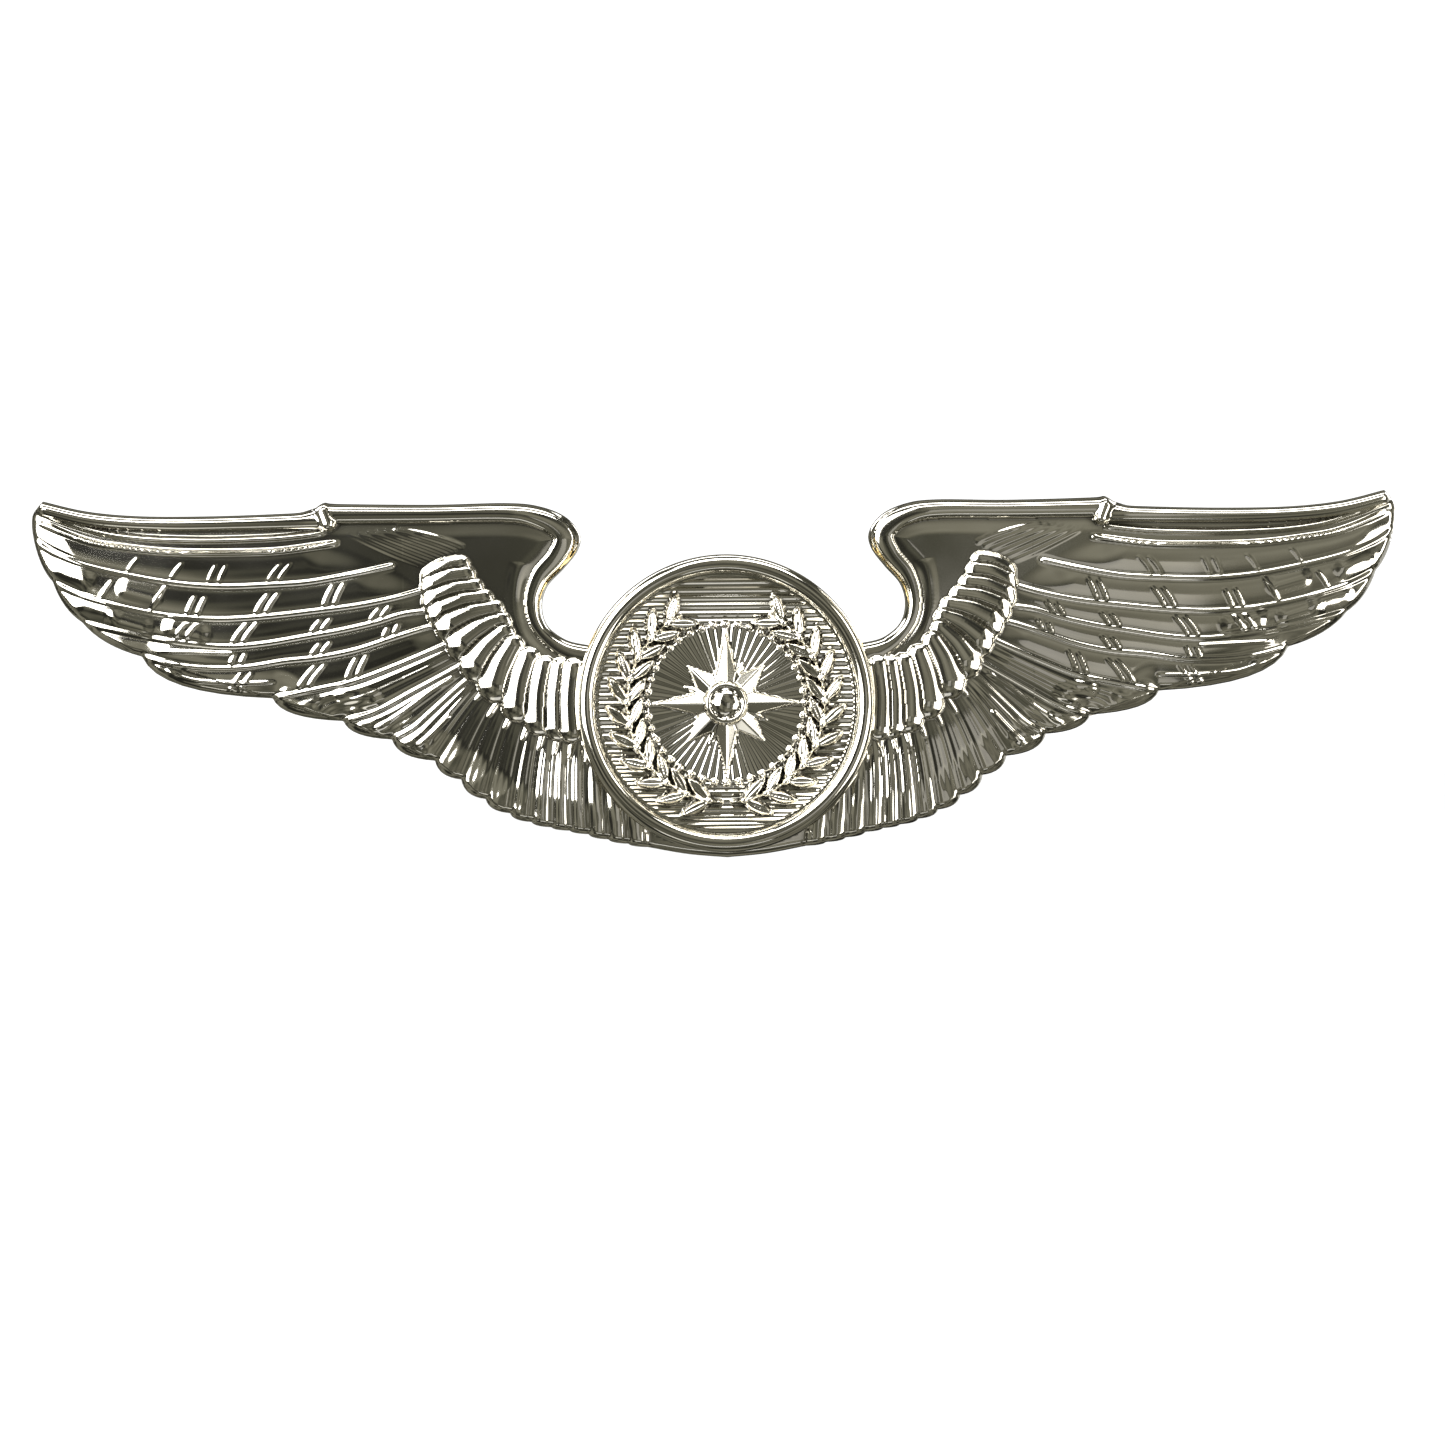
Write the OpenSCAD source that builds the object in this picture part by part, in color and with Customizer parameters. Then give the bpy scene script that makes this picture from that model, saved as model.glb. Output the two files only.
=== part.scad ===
// Pilot wings badge: a die-struck pair of wings, a medallion soldered on its front, and three
// posts on its back, each held through the cloth by a butterfly clutch.
// It stands upright as worn: +X along the span, +Z up, face to -Y, cloth side to +Y.
// The origin is on the flat of the back, behind the centre of the medallion.

/* [Wings] */
// Centre to the left wing tip
left_tip = 38.7; // [37:0.1:41]
// Centre to the right wing tip
right_tip = 37.5; // [37:0.1:41]
// Centre to the collar of the left wing
left_collar = 22.3; // [21:0.1:23]
// Centre to the collar of the right wing
right_collar = 21.2; // [21:0.1:23]
// Thickness of the plate under the relief
plate_t = 0.9; // [0.8:0.05:1]
// Radius to which the plate is bowed back
bow_r = 330; // [300:5:500]
// How far the medallion's seat stands proud of the back, in the middle
seat_proud = 0.15; // [0.12:0.01:0.2]
// Height of the plumage steps
step_h = 0.15; // [0.1:0.01:0.2]
// Width of the raised line beside each feather
quill_w = 0.28; // [0.2:0.02:0.36]

/* [Medallion] */
// Diameter of the medallion
medallion_d = 16.45; // [16.3:0.05:16.8]
// Thickness of its sunk field
field_t = 0.8; // [0.7:0.05:1]
// Height of the rim above the field
rim_h = 1.1; // [0.9:0.05:1.2]
// Width of the rim
rim_w = 1.05; // [0.9:0.05:1.2]
// Pitch of the ribs across the field
rib_pitch = 0.45; // [0.4:0.05:0.8]
// Radius of the compass star
star_r = 4.1; // [3.8:0.1:4.3]

/* [Posts] */
// Centre to a wing post along the span
post_x = 19.5; // [19:0.1:20]
// Height of the wing posts above the centre
post_z = 4.8; // [4.5:0.1:5]
// Diameter of a post
post_d = 1.1; // [1:0.02:1.14]
// Length of a post from the back to its point
post_l = 7.6; // [7:0.1:9]

/* [Clutches] */
// Diameter of the base plate of a clutch
clutch_d = 11.5; // [11.4:0.05:11.8]
// Room for cloth between the back and a clutch
cloth_gap = 2.1; // [2.05:0.05:3]
// Thickness of the sheet of the ears
sheet_t = 0.35; // [0.3:0.01:0.38]
// Radius of the wire of a jaw spring
wire_r = 0.22; // [0.18:0.01:0.22]

/* [Hidden] */

silver = [0.74, 0.74, 0.71];
bright = [0.86, 0.86, 0.83];
brass = [0.80, 0.66, 0.36];
pale_brass = [0.88, 0.76, 0.48];
steel = [0.52, 0.53, 0.55];
solder = [0.60, 0.61, 0.62];

$fn = 64;
bow_fn = 720;
slice = 60;      // longer than anything that it cuts
buried = 0.1;    // how far a raised detail starts below the surface that carries it

// ---- Curves -------------------------------------------------------------------------------

function spline_point(p, i, t) =
    let (a = p[max(i - 1, 0)], b = p[i], c = p[i + 1], d = p[min(i + 2, len(p) - 1)])
    0.5 * (2 * b + (c - a) * t + (2 * a - 5 * b + 4 * c - d) * t * t
        + (3 * b - a - 3 * c + d) * t * t * t);

// A smooth line through the points p, with n steps between neighbours
function spline(p, n) = concat(
    [for (i = [0:len(p) - 2]) for (k = [0:n - 1]) spline_point(p, i, k / n)],
    [p[len(p) - 1]]);

// The place at a share s of the way along the line p
function along(p, s) =
    let (f = s * (len(p) - 1), i = min(floor(f), len(p) - 2)) spline_point(p, i, f - i);

function bezier(a, c, b, n) =
    [for (k = [0:n - 1]) let (t = k / n) (1 - t) * (1 - t) * a + 2 * t * (1 - t) * c + t * t * b];

function flip(p) = [for (i = [len(p) - 1:-1:0]) p[i]];

function unit(v) = v / norm(v);

// The normal of the line p at its point i
function normal(p, i) =
    let (v = unit(p[min(i + 1, len(p) - 1)] - p[max(i - 1, 0)])) [-v[1], v[0]];

// A band of width w along the line p
function band(p, w) = concat(
    [for (i = [0:len(p) - 1]) p[i] + normal(p, i) * w / 2],
    [for (i = [len(p) - 1:-1:0]) p[i] - normal(p, i) * w / 2]);

// A round-ended bar from a to b, with its own radius at each end
function lobe(a, b, ra, rb, n = 7) =
    let (v = unit(b - a), turn = atan2(v[1], v[0]))
    concat(
        [for (k = [0:n]) let (q = turn + 90 + 180 * k / n) a + ra * [cos(q), sin(q)]],
        [for (k = [0:n]) let (q = turn - 90 + 180 * k / n) b + rb * [cos(q), sin(q)]]);

// ---- One wing, drawn from the centre outwards, x along the span and y up -------------------

root_x = 8;        // the span is stretched only outside this
collar_x = 21.75;
tip_x = 38.1;

// Where the feathers end on the lower edge, from the tip to the medallion
FEATHER_ENDS = [
    [38.05, 9.5], [37, 7.15], [35.35, 4.85], [32, 2.9], [24.7, 0.5], [20.8, -0.8],
    [18.2, -1.85], [15.9, -3.05], [14.5, -4.1], [13.2, -5.2], [11.9, -6], [10.75, -6.5],
    [9.7, -6.8], [8.7, -7], [7.7, -7.2], [6.6, -7.5], [5.5, -7.75], [4.4, -7.95]
];
UNDER_MEDALLION = [[0, -8.55], [2.2, -8.35], [4.4, -7.95]];
TIP = [[38.05, 9.5], [38.15, 10.3], [38.05, 11], [37.5, 11.65]];
LEADING_EDGE = [
    [37.5, 11.65], [35, 11.05], [32, 10.75], [28, 10.7], [23.8, 10.8], [22.9, 10.88]
];
SHOULDER = [
    [22.2, 11.1], [21.7, 11.38], [20.9, 11.3], [16, 11.2], [12, 11.25], [10.2, 11.05],
    [8.8, 10.45], [8.05, 9.5], [8.15, 8.6], [8.9, 7.6], [9.8, 6.6], [10.1, 5.5],
    [9.8, 4.4], [8.8, 3.6], [7.6, 3.3]
];
PRIMARY_LINES = [
    [[18.1, 7.8], [20, 7.4], [22.5, 6.95], [25, 6.8], [27.5, 6.75], [30, 6.95], [32.5, 7.4],
        [35, 8], [36.8, 8.7]],
    [[16.2, 6.5], [18, 6], [20, 5.6], [22.5, 5.3], [25, 5.05], [27.5, 4.93], [30, 5.1],
        [32.5, 5.55], [35.2, 6.3]],
    [[15.9, 5.3], [17.5, 5.1], [19, 4.65], [21, 4.2], [23, 3.87], [25, 3.55], [27, 3.4],
        [29, 3.55], [31, 3.85], [33.2, 4.3]],
    [[16, 4.4], [18, 3.8], [20, 3.15], [22, 2.75], [24, 2.55], [26, 2.25], [28, 2.2], [30, 2.4]],
    [[14.6, 3.7], [16, 3.05], [18, 2.2], [20, 1.45], [22, 1]],
    [[13.8, 2.6], [15, 1.9], [17, 0.8], [19, -0.28]],
    [[13.6, 1.8], [14.5, 1.1], [16, -0.3], [17, -1.2]]
];
// Where the short feathers leave the coverts, from the primaries to the medallion
SECONDARY_ROOTS = [
    [12.6, 1.7], [12.2, 0.7], [11.4, 0.2], [10.5, -0.5], [9.7, -1], [8.9, -1.3], [8, -1.5],
    [7, -2.1], [5.8, -2.8], [4.7, -3.6]
];
COVERT_TOPS = [[14.5, 7.7], [13.7, 6.3], [12.5, 4.95], [11.9, 3.55], [10.1, 2.15], [8.4, 2]];
COVERT_ENDS = [[15.8, 7.15], [15.55, 5.65], [14.55, 4.05], [12.95, 1.6], [10.4, -0.7], [8.5, -1.4]];
ROLL_LINE = [[21.6, 10.36], [26, 10.3], [30.5, 10.3], [34.5, 10.58], [37.2, 11.2]];
RIB_LINES = [
    [[21.6, 9.7], [23.8, 9.45], [28, 9.33], [32, 9.5], [34, 9.8], [36, 10.3], [37.3, 10.8]],
    [[20.9, 9.1], [24, 8.7], [29, 8.64], [33, 9], [36, 9.7], [37.6, 10.3]]
];
HAIR_LINES = [
    [[20.6, 9.5], [18.6, 8.7], [16, 7.65]],
    [[20.2, 9.9], [17.9, 9.15], [15.5, 8.25]],
    [[18.4, 9.9], [16.6, 9.6], [14.8, 8.9]]
];
SHOULDER_LINE = [
    [21.5, 10.65], [16, 10.55], [12, 10.6], [10.3, 10.4], [9.2, 9.8], [8.9, 9.1], [9.4, 8.1],
    [10.25, 7.1], [10.68, 5.8], [10.4, 4.5], [9.5, 3.4], [8.5, 2.85]
];
NECK_LINE = [[11.4, 7.9], [11.6, 6.6], [11.6, 5], [10.95, 3.6], [9.9, 2.5], [8.8, 2.1]];

covert_count = 11;
secondary_count = len(FEATHER_ENDS) - len(PRIMARY_LINES) - 1;
blunt_count = 3;        // the outer feathers, with ends cut nearly straight
blunt_fullness = 0.32;
fullness = 0.12;        // how near another feather's end comes to a square corner

// The lower edge of the feather that ends between ends k + 1 and k
function feather_edge(k) =
    let (a = FEATHER_ENDS[k + 1], b = FEATHER_ENDS[k],
        f = k < blunt_count ? blunt_fullness : fullness)
    bezier(a, [b[0] - f * (b[0] - a[0]), a[1] + f * (b[1] - a[1])], b, 6);

function full_outline() = concat(
    spline(UNDER_MEDALLION, 3),
    [for (k = [len(FEATHER_ENDS) - 2:-1:0]) each feather_edge(k)],
    spline(TIP, 3),
    spline(LEADING_EDGE, 3),
    spline(SHOULDER, 3),
    [[0, 3.3]]);

// The outline of a drawn wing, drawn in from the edge by inset
function outline(inset = 0) =
    let (p = full_outline()) [for (i = [0:len(p) - 1]) p[i] + inset * normal(p, i)];

// The lines between feathers, primaries first, each from its root to the lower edge
function feather_line(k) = k < len(PRIMARY_LINES)
    ? spline(concat(PRIMARY_LINES[k], [FEATHER_ENDS[k]]), 3)
    : let (a = along(SECONDARY_ROOTS, (k - len(PRIMARY_LINES)) / secondary_count),
        b = FEATHER_ENDS[k], sag = [0.1, 0])
    spline([a, (a + b) / 2 + sag, b], 4);

// A point of the drawn wing on the real badge: side is -1 for the left wing, 1 for the right
function span(x, side) =
    let (collar = side < 0 ? left_collar : right_collar, tip = side < 0 ? left_tip : right_tip)
    side * (x <= root_x ? x
        : x <= collar_x ? root_x + (x - root_x) * (collar - root_x) / (collar_x - root_x)
        : collar + (x - collar_x) * (tip - collar) / (tip_x - collar_x));

function placed(points, side) = [for (p = points) [span(p[0], side), p[1]]];

// ---- The struck plate ----------------------------------------------------------------------

module both_wings(points) {
    for (side = [-1, 1]) polygon(placed(points, side));
}

// How far the back of the plate lies behind the origin at x
function bow(x) = bow_r - sqrt(bow_r * bow_r - x * x) - seat_proud;

// The 2D children struck out of the bowed sheet, between two depths in front of its back
module struck(from, to) {
    translate([0, bow_r - seat_proud, 0]) intersection() {
        rotate([90, 0, 0]) linear_extrude(bow_r + slice) children();
        difference() {
            cylinder(r = bow_r + to, h = slice, center = true, $fn = bow_fn);
            cylinder(r = bow_r + from, h = slice + 1, center = true, $fn = bow_fn);
        }
    }
}

// The 2D children, kept a little inside the outline of the wings
module within_wings(inset) {
    intersection() {
        both_wings(outline(inset));
        union() children();
    }
}

// Every other feather stands above its neighbours
module raised_feathers() {
    for (k = [1:2:len(FEATHER_ENDS) - 2])
        both_wings(concat(feather_line(k), flip(feather_line(k + 1))));
}

module quill_lines() {
    for (k = [0:len(FEATHER_ENDS) - 1]) both_wings(band(feather_line(k), quill_w));
    for (line = HAIR_LINES) both_wings(band(spline(line, 3), quill_w));
}

covert_top_r = 0.42;
covert_end_r = 0.5;

module coverts() {
    for (k = [0:covert_count - 1]) {
        s = k / (covert_count - 1);
        both_wings(lobe(along(COVERT_TOPS, s), along(COVERT_ENDS, s), covert_top_r, covert_end_r));
    }
}

pocket_r = 1.55;
pocket_depth = 0.4;
seat_t = 1;                  // from the flat of the back to the medallion
seat_gap = 0.02;             // round the medallion
seat_margin = 0.2;           // by which the seat is smaller than the medallion

module relief() {
    roll_w = 0.8;
    shoulder_w = 1;
    neck_w = 0.6;
    struck(0.5, plate_t + step_h) within_wings(0.12) raised_feathers();
    struck(0.45, plate_t + 3 * step_h) within_wings(0.16) quill_lines();
    struck(0.4, plate_t + 4 * step_h) for (line = RIB_LINES)
        both_wings(band(spline(line, 3), 1.2 * quill_w));
    struck(0.35, plate_t + 5 * step_h) coverts();
    struck(0.32, plate_t + 5.5 * step_h) both_wings(band(spline(NECK_LINE, 3), neck_w));
    struck(0.3, plate_t + 6 * step_h) both_wings(band(spline(ROLL_LINE, 3), roll_w));
    struck(0.25, plate_t + 9 * step_h) both_wings(band(spline(SHOULDER_LINE, 3), shoulder_w));
    struck(0.2, plate_t + 10 * step_h) both_wings(band([[21.8, 11.25], [21.3, 9.8]], roll_w));
}

module wing_plate() {
    color(silver) difference() {
        union() {
            struck(0, plate_t) both_wings(outline());
            rotate([90, 0, 0]) cylinder(r = medallion_d / 2 - seat_margin, h = seat_t);
            relief();
        }
        facing(seat_t) cylinder(r = medallion_d / 2 + seat_gap, h = slice);
        for (i = [-1:1]) at_back(i) translate([0, 0, -pocket_depth])
            cylinder(r = pocket_r, h = slice);
    }
}

// ---- The medallion -------------------------------------------------------------------------

// Children are drawn with z towards the viewer, from a plane this far in front of the back
module facing(front) {
    translate([0, -front, 0]) rotate([90, 0, 0]) children();
}

field_r = medallion_d / 2 - rim_w;
rib_h = 0.15;                // heights above the field
laurel_h = 0.45;
star_h = 0.7;
hub_h = 1.05;
hub_r = 0.75;

module medallion_rim() {
    bead = rim_w / 2;
    rotate_extrude() {
        translate([field_r, 0]) square([rim_w, field_t + rim_h - bead]);
        translate([field_r + bead, field_t + rim_h - bead]) circle(r = bead);
    }
}

module field_ribs() {
    rows = floor(field_r / rib_pitch);
    rib_w = rib_pitch * 0.5;
    translate([0, 0, field_t - buried]) linear_extrude(rib_h + buried) intersection() {
        circle(r = field_r + rim_w / 4);
        for (i = [-rows:rows])
            translate([-field_r - rim_w, i * rib_pitch - rib_w / 2]) square([2 * (field_r + rim_w), rib_w]);
    }
}

// A compass star: long and short points by turns, each with a ridge from the hub to its end
module compass_star() {
    points = 8;
    base = field_t - 3 * buried;
    height = star_h + 3 * buried;
    short_r = 0.72 * star_r;
    waist_r = 0.4 * star_r;
    ring = [for (k = [0:2 * points - 1])
        let (r = k % 2 == 1 ? waist_r : k % 4 == 0 ? star_r : short_r,
            q = 90 + 180 * k / points)
        [r * cos(q), r * sin(q)]];
    n = len(ring);
    polyhedron(
        points = concat(
            [for (p = ring) [p[0], p[1], base]],
            [for (p = ring) [p[0], p[1], base + height / 4]],
            [[0, 0, base + height]]),
        faces = concat(
            [[for (k = [0:n - 1]) k]],
            [for (k = [0:n - 1]) [k, k + n, (k + 1) % n + n, (k + 1) % n]],
            [for (k = [0:n - 1]) [k + n, 2 * n, (k + 1) % n + n]]));
}

// A pointed leaf along +x from the origin
module leaf(length, width) {
    steps = 5;
    polygon(concat(
        [for (k = [0:steps]) [length * k / steps, width / 2 * sin(180 * k / steps)]],
        [for (k = [steps - 1:-1:1]) [length * k / steps, -width / 2 * sin(180 * k / steps)]]));
}

// Two laurel branches, from the foot of the field to its upper left and right
module laurel() {
    branch_r = 5.55;
    pairs = 9;
    stem_w = 0.28;
    leaf_l = 2;
    leaf_w = 0.8;
    stem = [for (q = [-84:4:62]) branch_r * [cos(q), sin(q)]];
    translate([0, 0, field_t - 2 * buried]) linear_extrude(laurel_h + 2 * buried)
        for (side = [0, 1]) mirror([side, 0]) {
            polygon(band(stem, stem_w));
            for (k = [0:pairs - 1]) rotate(-80 + 132 * k / (pairs - 1))
                translate([branch_r, 0]) for (fork = [-1, 1]) rotate(90 + 34 * fork)
                    leaf(leaf_l, leaf_w);
        }
}

module medallion() {
    color(bright) facing(seat_t) {
        cylinder(r = medallion_d / 2 - rim_w / 2, h = field_t);
        medallion_rim();
        field_ribs();
        laurel();
        compass_star();
        cylinder(r = hub_r, h = field_t + hub_h);
    }
}

// ---- Posts ---------------------------------------------------------------------------------

post_r = post_d / 2;
pad_r = 1.5;
pad_t = 0.3;

// Children are drawn with z away from the back, from the back's own surface at post i
module at_back(i) {
    back = i == 0 ? 0 : bow(post_x);
    translate([i * post_x, back, abs(i) * post_z]) rotate([-90, 0, 0]) children();
}

module post(i) {
    neck_z = post_l - 1.9;
    color(bright) at_back(i) rotate_extrude() polygon([
        [0, -pocket_depth], [pad_r, -pocket_depth], [pad_r, pad_t - pocket_depth],
        [post_r, pad_t - pocket_depth], [post_r, neck_z - 0.6], [post_r - 0.12, neck_z - 0.45],
        [post_r - 0.12, neck_z], [post_r, neck_z + 0.15], [post_r, post_l - 1.1],
        [0.1, post_l], [0, post_l]
    ]);
}

module post_solder() {
    fillet_h = 0.32;
    color(solder) for (i = [-1:1]) at_back(i) rotate_extrude() polygon([
        [post_r, pad_t - pocket_depth], [pad_r - 0.1, pad_t - pocket_depth],
        [pad_r - 0.5, pad_t - pocket_depth + 0.08],
        [post_r, pad_t - pocket_depth + fillet_h]
    ]);
}

// ---- Clutches ------------------------------------------------------------------------------

running_gap = 0.05;
floor_t = 0.42;              // sheet of the base plate
boss_z = 0.85;               // top of the base plate's raised middle
cover_r = 4.6;
cover_h = 4.25;
cover_wall = 0.35;
knee = [3.8, 3.3];           // where an ear rocks, seen from the side
knee_r = 0.25;
slot_half = 2.25;            // half the width of the slot that an ear comes out of

// Children are drawn with z away from the cloth, from the foot of clutch i
module on_post(i) {
    behind = cloth_gap + (i == 0 ? 0 : bow(post_x + clutch_d / 2));
    translate([i * post_x, behind, abs(i) * post_z]) rotate([-90, 0, 0]) children();
}

module clutch_base(i) {
    hole_r = post_r + running_gap;
    rim_r = clutch_d / 2;
    lip_z = 0.88;
    color(brass) on_post(i) rotate_extrude() polygon([
        [hole_r, boss_z - floor_t + 0.03], [2.2, boss_z - floor_t + 0.03], [2.5, 0],
        [rim_r - 0.45, 0], [rim_r, 0.25], [rim_r, 0.9], [rim_r - 0.15, 1.1],
        [cover_r + 0.25, 1.1], [cover_r + 0.25, lip_z], [rim_r - 0.45, lip_z],
        [rim_r - 0.45, floor_t], [2.75, floor_t], [2.45, boss_z], [hole_r, boss_z]
    ]);
}

module clutch_cover(i) {
    inner_r = cover_r - cover_wall;
    flange_r = clutch_d / 2 - 0.45 - 2 * running_gap;
    foot = floor_t + running_gap;
    color(brass) on_post(i) difference() {
        rotate_extrude() polygon([
            [inner_r, foot], [flange_r, foot], [flange_r, foot + 0.33], [cover_r, foot + 0.33],
            [cover_r, cover_h - 0.4], [cover_r - 0.12, cover_h - 0.12], [cover_r - 0.4, cover_h],
            [1.7, cover_h], [1.5, cover_h + 0.22], [1, cover_h + 0.22],
            [0.9, cover_h - cover_wall], [inner_r - 0.2, cover_h - cover_wall],
            [inner_r, cover_h - cover_wall - 0.2]
        ]);
        for (side = [-1, 1]) {
            translate([side * 4.4 - 1, -slot_half, 2.7]) cube([2, 2 * slot_half, 3]);
            translate([side * knee[0], 0, knee[1]]) rotate([90, 0, 0])
                cylinder(r = knee_r + running_gap, h = 6, center = true);
        }
    }
}

EAR_SIDE = [[0.95, 1.75], [2.4, 2.5], [3.8, 3.3], [4.8, 3.65], [6, 4.4], [7.2, 5.3], [8.1, 5.35]];
EAR_TOP = [
    [0, 0.45], [2.1, 0.45], [2.6, 1.3], [2.9, 2], [4.85, 2], [5.3, 2.6], [7.1, 2.6],
    [7.9, 2.2], [8.3, 1.4]
];

// One ear: side is -1 for the left one, 1 for the right
module clutch_ear(i, side) {
    half_top = [for (p = EAR_TOP) [p[0], -p[1]]];
    color(pale_brass) on_post(i) mirror([side < 0 ? 1 : 0, 0, 0]) {
        intersection() {
            rotate([90, 0, 0]) linear_extrude(6, center = true)
                polygon(band(spline(EAR_SIDE, 4), sheet_t));
            linear_extrude(8) polygon(concat(EAR_TOP, flip(half_top)));
        }
        translate([knee[0], 0, knee[1]]) rotate([90, 0, 0])
            cylinder(r = knee_r, h = 2 * slot_half + 0.2, center = true);
    }
}

// A hairpin of wire whose two legs pass on either side of the post and flare at their ends
module clutch_spring(i) {
    leg_y = post_r + wire_r + 0.03;
    wire_z = boss_z + wire_r + 0.03;
    bend_x = -2.6;
    leg_l = 5.4;
    flare_r = 1;
    flare_angle = 45;
    color(steel) on_post(i) translate([bend_x, 0, wire_z]) {
        rotate([0, 0, 90]) rotate_extrude(angle = 180) translate([leg_y, 0]) circle(r = wire_r);
        for (side = [0, 1]) mirror([0, side, 0]) translate([0, leg_y, 0]) {
            rotate([0, 90, 0]) cylinder(r = wire_r, h = leg_l);
            translate([leg_l, flare_r, 0]) rotate([0, 0, -90])
                rotate_extrude(angle = flare_angle) translate([flare_r, 0]) circle(r = wire_r);
        }
    }
}

wing_plate();
medallion();
post(-1);  // left_post
post(0);  // center_post
post(1);  // right_post
post_solder();
clutch_base(-1);  // left_clutch_base
clutch_cover(-1);  // left_clutch_cover
clutch_ear(-1, -1);  // left_clutch_left_ear
clutch_ear(-1, 1);  // left_clutch_right_ear
clutch_spring(-1);  // left_clutch_spring
clutch_base(0);  // center_clutch_base
clutch_cover(0);  // center_clutch_cover
clutch_ear(0, -1);  // center_clutch_left_ear
clutch_ear(0, 1);  // center_clutch_right_ear
clutch_spring(0);  // center_clutch_spring
clutch_base(1);  // right_clutch_base
clutch_cover(1);  // right_clutch_cover
clutch_ear(1, -1);  // right_clutch_left_ear
clutch_ear(1, 1);  // right_clutch_right_ear
clutch_spring(1);  // right_clutch_spring
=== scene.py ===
import math

import bpy
import numpy as np
from mathutils import Matrix, Vector
from mathutils.geometry import delaunay_2d_cdt


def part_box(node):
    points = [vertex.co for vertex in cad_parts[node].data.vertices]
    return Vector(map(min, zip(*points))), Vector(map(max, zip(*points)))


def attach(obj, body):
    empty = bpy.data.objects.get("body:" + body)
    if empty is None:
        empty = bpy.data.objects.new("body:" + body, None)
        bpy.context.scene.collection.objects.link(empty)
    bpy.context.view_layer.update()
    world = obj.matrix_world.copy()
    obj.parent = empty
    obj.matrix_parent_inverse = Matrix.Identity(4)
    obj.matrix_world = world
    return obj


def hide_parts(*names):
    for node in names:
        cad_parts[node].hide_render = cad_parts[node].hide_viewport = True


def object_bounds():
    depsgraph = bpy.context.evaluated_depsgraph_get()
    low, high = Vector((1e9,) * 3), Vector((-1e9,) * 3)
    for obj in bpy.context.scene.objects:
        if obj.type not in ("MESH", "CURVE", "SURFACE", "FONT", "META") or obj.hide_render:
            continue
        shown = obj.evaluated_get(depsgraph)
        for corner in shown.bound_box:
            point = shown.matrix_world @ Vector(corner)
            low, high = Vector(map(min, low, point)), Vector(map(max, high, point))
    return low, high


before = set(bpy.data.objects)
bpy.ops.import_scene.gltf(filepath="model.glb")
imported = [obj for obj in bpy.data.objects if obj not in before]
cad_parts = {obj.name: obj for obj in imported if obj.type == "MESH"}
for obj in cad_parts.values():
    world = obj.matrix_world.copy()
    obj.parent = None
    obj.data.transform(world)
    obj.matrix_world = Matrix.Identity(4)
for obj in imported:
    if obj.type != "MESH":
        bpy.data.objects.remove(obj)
cad_low, cad_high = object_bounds()

MM = 0.001   # the drawings below are in millimetres, Blender is in metres

# ---- Driving dimensions, as on the CAD model -------------------------------------------------

BOW_R = 330.0          # radius to which the plate is bowed back
SEAT_PROUD = 0.15      # how far the medallion's seat stands proud of the back
SEAT_R = 8.025
SEAT_FRONT = 1.0       # from the flat of the back to the medallion
POST_X, POST_Z = 19.5, 4.8
POCKET_R, POCKET_DEPTH = 1.5, 0.4
MEDALLION_R = 8.225
FIELD_T, RIM_H, RIM_W = 0.8, 1.1, 1.05

ROOT_X, COLLAR_X, TIP_X = 8.0, 21.75, 38.1        # of the drawn wing
COLLAR = {-1: 22.3, 1: 21.2}                      # of the real left and right wing
WING_TIP = {-1: -cad_low.x / MM, 1: cad_high.x / MM}

# ---- The camera ------------------------------------------------------------------------------

LENS, SENSOR = 120.0, 36.0                        # millimetres
FRAME_W = 79.6                                    # width of the picture at the badge's face
AIM = (-0.2, -1.06)                               # what its middle looks at, across and up
ROLL = math.radians(0.5)


def make_camera():
    data = bpy.data.cameras.new("camera")
    data.lens, data.sensor_width = LENS, SENSOR
    data.clip_start, data.clip_end = 0.01, 10
    camera = bpy.data.objects.new("camera", data)
    bpy.context.scene.collection.objects.link(camera)
    distance = FRAME_W * MM * LENS / SENSOR
    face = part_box("medallion")[0].y
    place = Matrix.Translation((AIM[0] * MM, face - distance, AIM[1] * MM))
    level = Matrix.Rotation(math.pi / 2, 4, "X")
    camera.matrix_world = place @ level @ Matrix.Rotation(-ROLL, 4, "Z")
    bpy.context.scene.camera = camera


make_camera()

# ---- Curves, in two dimensions ---------------------------------------------------------------


def spline(points, steps=8):
    """A smooth line through the points, with that many steps between neighbours."""
    p = np.array(points, float)
    p = np.vstack([p[0], p, p[-1]])
    a, b, c, d = (p[i:len(p) - 3 + i, None] for i in range(4))
    t = (np.arange(steps) / steps)[None, :, None]
    line = 0.5 * (2 * b + (c - a) * t + (2 * a - 5 * b + 4 * c - d) * t ** 2
                  + (3 * b - a - 3 * c + d) * t ** 3)
    return np.vstack([line.reshape(-1, 2), p[-1]])


def along(points, share, steps=16):
    """The point at that share of the way along the smooth line through the points."""
    line = spline(points, steps)
    place = share * (len(line) - 1)
    i = min(int(place), len(line) - 2)
    return line[i] + (place - i) * (line[i + 1] - line[i])


def bezier(a, control, b, steps=8):
    """The curve from a towards the control point and on to b, without b itself."""
    t = (np.arange(steps) / steps)[:, None]
    a, control, b = (np.array(p, float) for p in (a, control, b))
    return (1 - t) ** 2 * a + 2 * t * (1 - t) * control + t ** 2 * b


# ---- A sheet of heights over a grid ------------------------------------------------------------


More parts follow.
